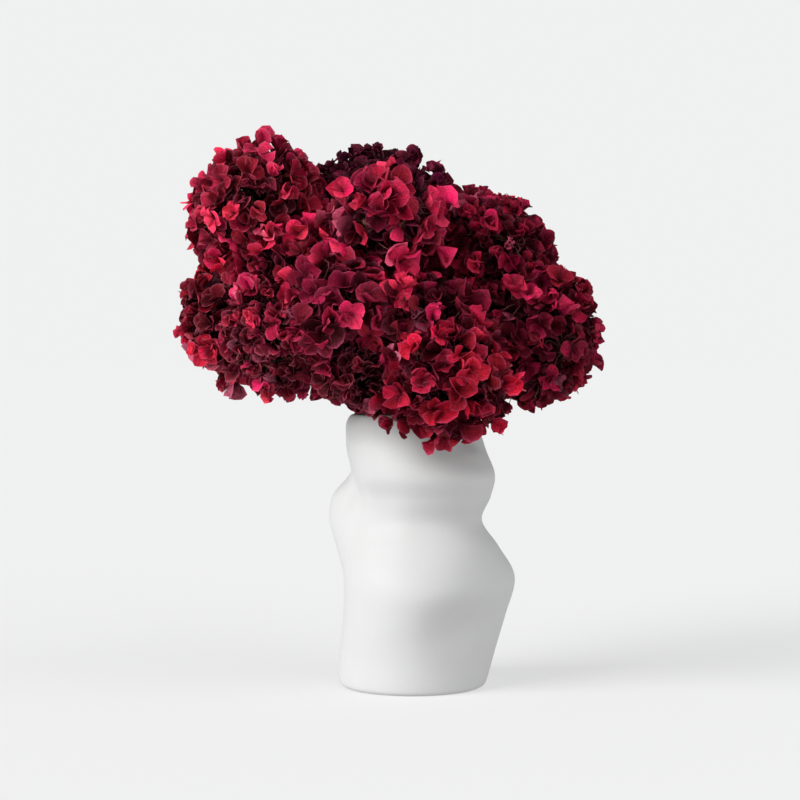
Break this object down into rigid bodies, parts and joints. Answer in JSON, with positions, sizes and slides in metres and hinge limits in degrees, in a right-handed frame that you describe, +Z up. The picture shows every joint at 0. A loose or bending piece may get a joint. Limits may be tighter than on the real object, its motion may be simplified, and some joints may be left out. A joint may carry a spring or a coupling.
{
  "type": "hydrangeas in a vase",
  "caption": "Bunch of deep red dried hydrangea heads on woody stems, standing in a wavy matt white ceramic vase.",
  "frame": {"origin": "middle of the vase's foot, on the surface it stands on", "axes": "+Z up, -Y towards the front, +X to the viewer's right"},
  "size_m": [0.4075, 0.332, 0.5449],
  "materials": {
    "vase_ceramic": "matte",
    "stem_wood": "matte",
    "petals_pink": "matte",
    "petals_red": "matte",
    "petals_dark": "matte"
  },
  "bodies": {
    "root": {"vase": "vase_ceramic", "stem_top_left": "stem_wood", "florets_top_left": "petals_red", "stem_top_back": "stem_wood", "florets_top_back": "petals_dark", "stem_top_front": "stem_wood", "florets_top_front": "petals_pink", "stem_right_upper": "stem_wood", "florets_right_upper": "petals_dark", "stem_right_lower": "stem_wood", "florets_right_lower": "petals_dark", "stem_upper_left": "stem_wood", "florets_upper_left": "petals_pink", "stem_left_lower": "stem_wood", "florets_left_lower": "petals_red", "stem_left_front": "stem_wood", "florets_left_front": "petals_red", "stem_middle_left": "stem_wood", "florets_middle_left": "petals_pink", "stem_middle_right": "stem_wood", "florets_middle_right": "petals_dark", "stem_mouth_left": "stem_wood", "florets_mouth_left": "petals_red", "stem_mouth_front": "stem_wood", "florets_mouth_front": "petals_pink", "stem_back_left": "stem_wood", "florets_back_left": "petals_red", "stem_back_right": "stem_wood", "florets_back_right": "petals_dark", "stem_back_low": "stem_wood", "florets_back_low": "petals_dark"}
  },
  "joints": []
}
